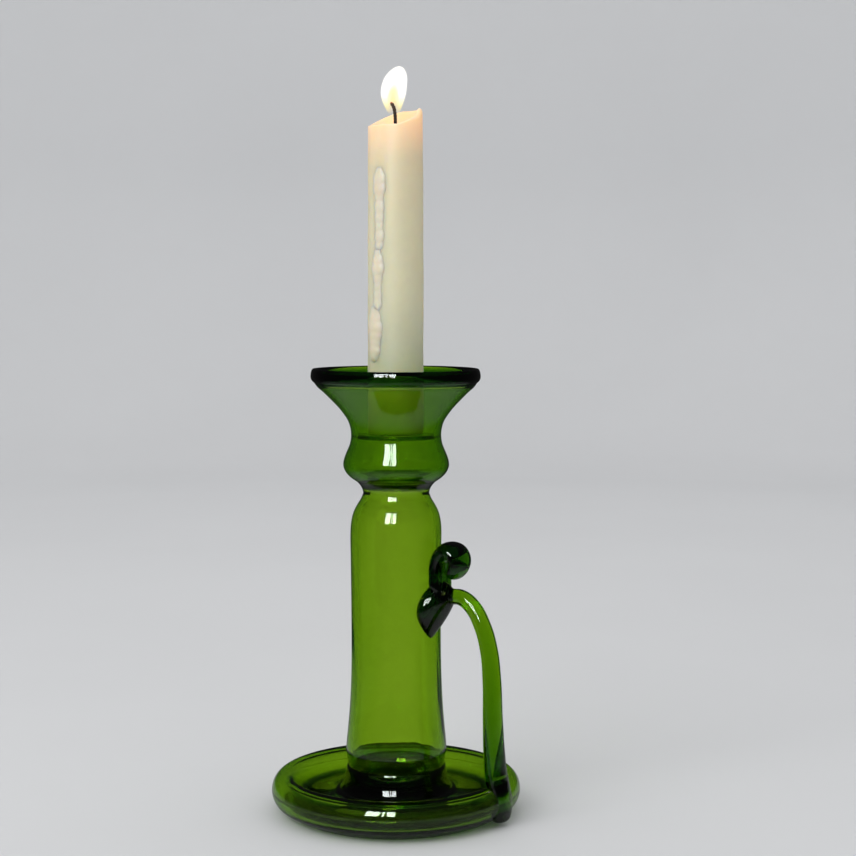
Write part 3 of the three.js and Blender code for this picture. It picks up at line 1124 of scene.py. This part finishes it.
def wax_beads(name, node, beads):
    """A run of set wax beads that melted into each other down the side of the candle.
    Each bead is (place from 0 at the foot to 1 at the top, half width, thickness, half height) in mm."""
    start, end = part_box(node)
    centre = (start + end) / 2
    heading = atan2(centre.y, centre.x)
    bottom, top = start.z / MM, end.z / MM
    sunk = 3.0  # depth of the lumps' centres in the candle, in mm
    radius = reach("candle_shaft") - sunk
    lumps = []
    for share, wide, thick, tall in beads:
        place = (radius, 0, bottom + (top - bottom) * share)
        # Sunk deep into the candle, a lump swells out of its side without an edge
        lump = ball(name, place, (0.75 * thick + sunk, wide * 1.9, tall * 1.8), (24, 16))
        lumps.append(lump)
    deselect()
    for lump in lumps:
        lump.select_set(True)
    bpy.context.view_layer.objects.active = lumps[0]
    bpy.ops.object.join()
    run = bpy.context.object
    run.name = run.data.name = name
    run.rotation_euler.z = heading
    bpy.ops.object.transform_apply(location=True, rotation=True, scale=True)
    apply_modifier(run, "REMESH", mode="VOXEL", voxel_size=0.25 * MM)
    apply_modifier(run, "SMOOTH", factor=0.5, iterations=22)
    return run


WAX_RUNS = {
    "wax_run_upper": [
        (0.9, 1.6, 0.5, 2.4), (0.82, 2.2, 0.9, 3.4), (0.72, 2.3, 1.0, 3.2), (0.62, 1.8, 0.7, 3.0),
        (0.5, 1.9, 0.9, 3.2), (0.38, 1.8, 0.8, 3.2), (0.27, 1.6, 0.8, 2.6), (0.16, 1.9, 1.0, 2.8),
        (0.06, 1.7, 0.7, 2.4),
    ],
    "wax_run_lower": [
        (0.98, 1.6, 0.6, 2.2), (0.84, 2.0, 1.1, 3.0), (0.7, 2.3, 1.3, 3.0), (0.54, 2.0, 0.8, 3.0),
        (0.38, 1.8, 0.7, 3.2), (0.22, 1.9, 0.7, 3.2), (0.06, 2.0, 0.8, 3.0),
    ],
    "wax_drop": [
        (0.98, 2.2, 0.9, 2.8), (0.84, 2.5, 1.3, 3.4), (0.68, 2.7, 1.8, 3.2), (0.52, 2.6, 1.6, 3.0),
        (0.36, 2.3, 1.5, 3.2), (0.2, 2.2, 1.9, 2.8), (0.1, 1.9, 1.7, 2.2),
    ],
}


class CANDLESTICK_OT_wax_runs(bpy.types.Operator):
    """Model the wax that ran down the candle: two stretches of beads and the thick drop at their end"""

    bl_idname = "candlestick.wax_runs"
    bl_label = "Wax runs"

    def execute(self, context):
        for node, beads in WAX_RUNS.items():
            piece = wax_beads(node + ".wax", node, beads)
            dress(finished(piece, 80), set_wax(), "candle", [node])
        return {"FINISHED"}


# Half width as a share of the widest, and height as a share of the whole
FLAME_OUTLINE = [
    (0, 0), (0.3, 0.015), (0.52, 0.09), (0.8, 0.26), (0.97, 0.42), (1, 0.57), (0.93, 0.73), (0.76, 0.845),
    (0.52, 0.93), (0.25, 0.983), (0, 1),
]


class CANDLESTICK_OT_flame(bpy.types.Operator):
    """Model the flame on the wick"""

    bl_idname = "candlestick.flame"
    bl_label = "Flame"

    def execute(self, context):
        settings = context.scene.candlestick_candle
        base = high("wick") - 6.1
        height = settings.flame_height / MM
        half = settings.flame_width / MM / 2
        outline = [(half * wide, base + height * share) for wide, share in FLAME_OUTLINE]
        piece = turned("flame.vapour", flow(outline, 32), steps=48)
        # The flame stands left of the wick and its tip leans to the right
        side = Vector((cos(VIEW_HEADING), sin(VIEW_HEADING)))
        for vertex in piece.data.vertices:
            rise = max(0, (vertex.co.z / MM - base) / height)
            vertex.co.xy += side * (2.2 * rise ** 2.5 - 0.5 * sin(pi * rise) - 0.6) * MM
        finished(piece, 80)
        dress(piece, candle_flame(base * MM, (base + height) * MM), "candle")
        piece.visible_shadow = False
        return {"FINISHED"}


# ---------------------------------------------------------------- the stage


OBJECT_MIDDLE = 0.14  # height that the lights shine at, in metres


def add_backdrop(settings):
    """A round floor that curves up into a low wall, the same from every side."""
    edge = settings.radius / MM
    bend_radius, wall_top = (500, 420), 780
    floor = turned("floor", [
        (0, 0), (150, 0), (430, 0), (800, 0),
        *arc((edge - bend_radius[0], bend_radius[1]), bend_radius, -90, 0, 14), (edge, wall_top),
    ], 72, 0)
    finished(floor, 60)
    floor.data.materials.append(pale_cloth())


def add_sky():
    """Even pale light for matt surfaces, while glass sees a dim room."""
    world = bpy.data.worlds.new("soft room")
    bpy.context.scene.world = world
    world.use_nodes = True
    tree = world.node_tree
    tree.nodes.clear()
    place = add_node(tree, "TexCoord")
    split = add_node(tree, "SeparateXYZ", None, {"Vector": place.outputs["Generated"]})
    painted_dim_room = add_node(tree, "ValToRGB", None, {"Fac": split.outputs["Z"]})
    ramp = painted_dim_room.color_ramp
    ramp.elements[0].color = (0.012, 0.012, 0.012, 1)
    ramp.elements[1].color = (0.04, 0.04, 0.042, 1)
    path = add_node(tree, "LightPath")
    matt = add_node(tree, "Math", {"operation": "GREATER_THAN", 1: 0.5}, {0: path.outputs["Diffuse Depth"]})
    either = add_node(tree, "Math", {"operation": "MAXIMUM"}, {0: matt, 1: path.outputs["Is Camera Ray"]})
    light = add_node(tree, "Mix", {"data_type": "RGBA", 7: (0.79, 0.79, 0.80, 1)}, {0: either, 6: painted_dim_room})
    sky = add_node(tree, "Background", {"Strength": 1.0}, {"Color": light.outputs[2]})
    add_node(tree, "OutputWorld", None, {"Surface": sky})


def add_area(name, place, size, power, colour=(1, 1, 1)):
    """An area light that shines at the middle of the object."""
    deselect()
    bpy.ops.object.light_add(type="AREA", location=place)
    lamp = bpy.context.object
    lamp.name = name
    lamp.data.shape = "RECTANGLE"
    lamp.data.size, lamp.data.size_y = size
    lamp.data.energy = power
    lamp.data.color = colour
    lamp.rotation_euler = (Vector((0, 0, OBJECT_MIDDLE)) - Vector(place)).to_track_quat("-Z", "Y").to_euler()
    lamp.visible_camera = False
    return lamp


def add_lights(settings):
    """A soft key light for matt surfaces, and a window that only glass mirrors, both from the front left."""
    heading = VIEW_HEADING - radians(38)
    away, up = 1.6, 1.1
    key = add_area(
        "soft key", Vector((sin(heading) * away, -cos(heading) * away, up)), (1.4, 1.4), settings.key_power
    )
    key.visible_glossy = False
    heading = VIEW_HEADING - radians(13)
    away, up, tall = 1.5, 0.97, 0.92
    across = Vector((cos(heading), sin(heading), 0))
    middle = Vector((sin(heading) * away, -cos(heading) * away, up))
    for offset, wide in ((-0.23, 0.36), (0.04, 0.06), (0.24, 0.22)):
        pane = add_area(
            "window pane", middle + across * offset, (wide, tall),
            settings.window_glare * pi * wide * tall, (0.93, 0.98, 1.0),
        )
        pane.visible_diffuse = False


def add_camera():
    """The viewer stands 0.72 m away, a little above the rim of the cup, looking slightly down."""
    heading = VIEW_HEADING
    away, eye, pitch, aside = 0.7215, 0.2132, radians(4.207), 0.0133
    place = Vector((sin(heading), -cos(heading), 0)) * away
    place += Vector((cos(heading), sin(heading), 0)) * aside
    place.z = eye
    deselect()
    bpy.ops.object.camera_add(location=place, rotation=(pi / 2 - pitch, 0, heading))
    camera = bpy.context.object
    camera.data.lens = 73.68
    camera.data.sensor_width = 36
    camera.data.clip_start = 0.01
    bpy.context.scene.camera = camera


class CANDLESTICK_OT_stage(bpy.types.Operator):
    """Set the pale floor, the window light, the room and the camera"""

    bl_idname = "candlestick.stage"
    bl_label = "Stage"

    def execute(self, context):
        settings = context.scene.candlestick_stage
        add_backdrop(settings)
        add_sky()
        add_lights(settings)
        add_camera()
        cycles = context.scene.cycles
        cycles.max_bounces = 32
        cycles.transmission_bounces = 28
        cycles.glossy_bounces = 8
        cycles.transparent_max_bounces = 16
        cycles.sample_clamp_indirect = 6
        cycles.use_denoising = True
        context.scene.view_settings.view_transform = "Standard"
        return {"FINISHED"}


# ---------------------------------------------------------------- panel and registration


class CANDLESTICK_PT_tools(bpy.types.Panel):
    """Lists the pieces of the candlestick in the order in which they are made"""

    bl_label = "Candlestick"
    bl_idname = "CANDLESTICK_PT_tools"
    bl_space_type = "VIEW_3D"
    bl_region_type = "UI"
    bl_category = "Candlestick"

    def draw(self, context):
        scene = context.scene
        for settings in (scene.candlestick_glass, scene.candlestick_candle, scene.candlestick_stage):
            box = self.layout.box()
            for name in settings.__annotations__:
                box.prop(settings, name)
        for operator in OPERATORS:
            self.layout.operator(operator.bl_idname)


OPERATORS = (
    CANDLESTICK_OT_stage,
    CANDLESTICK_OT_foot_shell,
    CANDLESTICK_OT_drip_tray,
    CANDLESTICK_OT_pontil_scar,
    CANDLESTICK_OT_stem_joint,
    CANDLESTICK_OT_stem_column,
    CANDLESTICK_OT_neck_wafer,
    CANDLESTICK_OT_candle_cup,
    CANDLESTICK_OT_seat_ledge,
    CANDLESTICK_OT_lip_wrap,
    CANDLESTICK_OT_handle_seal,
    CANDLESTICK_OT_handle,
    CANDLESTICK_OT_candle_shaft,
    CANDLESTICK_OT_melt_pool,
    CANDLESTICK_OT_wick,
    CANDLESTICK_OT_wax_runs,
    CANDLESTICK_OT_flame,
)
CLASSES = (GlassSettings, CandleSettings, StageSettings, *OPERATORS, CANDLESTICK_PT_tools)


def register():
    for cls in CLASSES:
        bpy.utils.register_class(cls)
    bpy.types.Scene.candlestick_glass = bpy.props.PointerProperty(type=GlassSettings)
    bpy.types.Scene.candlestick_candle = bpy.props.PointerProperty(type=CandleSettings)
    bpy.types.Scene.candlestick_stage = bpy.props.PointerProperty(type=StageSettings)


def unregister():
    del bpy.types.Scene.candlestick_stage
    del bpy.types.Scene.candlestick_candle
    del bpy.types.Scene.candlestick_glass
    for cls in reversed(CLASSES):
        bpy.utils.unregister_class(cls)


def main():
    register()
    for operator in OPERATORS:
        group, name = operator.bl_idname.split(".")
        getattr(getattr(bpy.ops, group), name)()


if __name__ == "__main__":
    main()
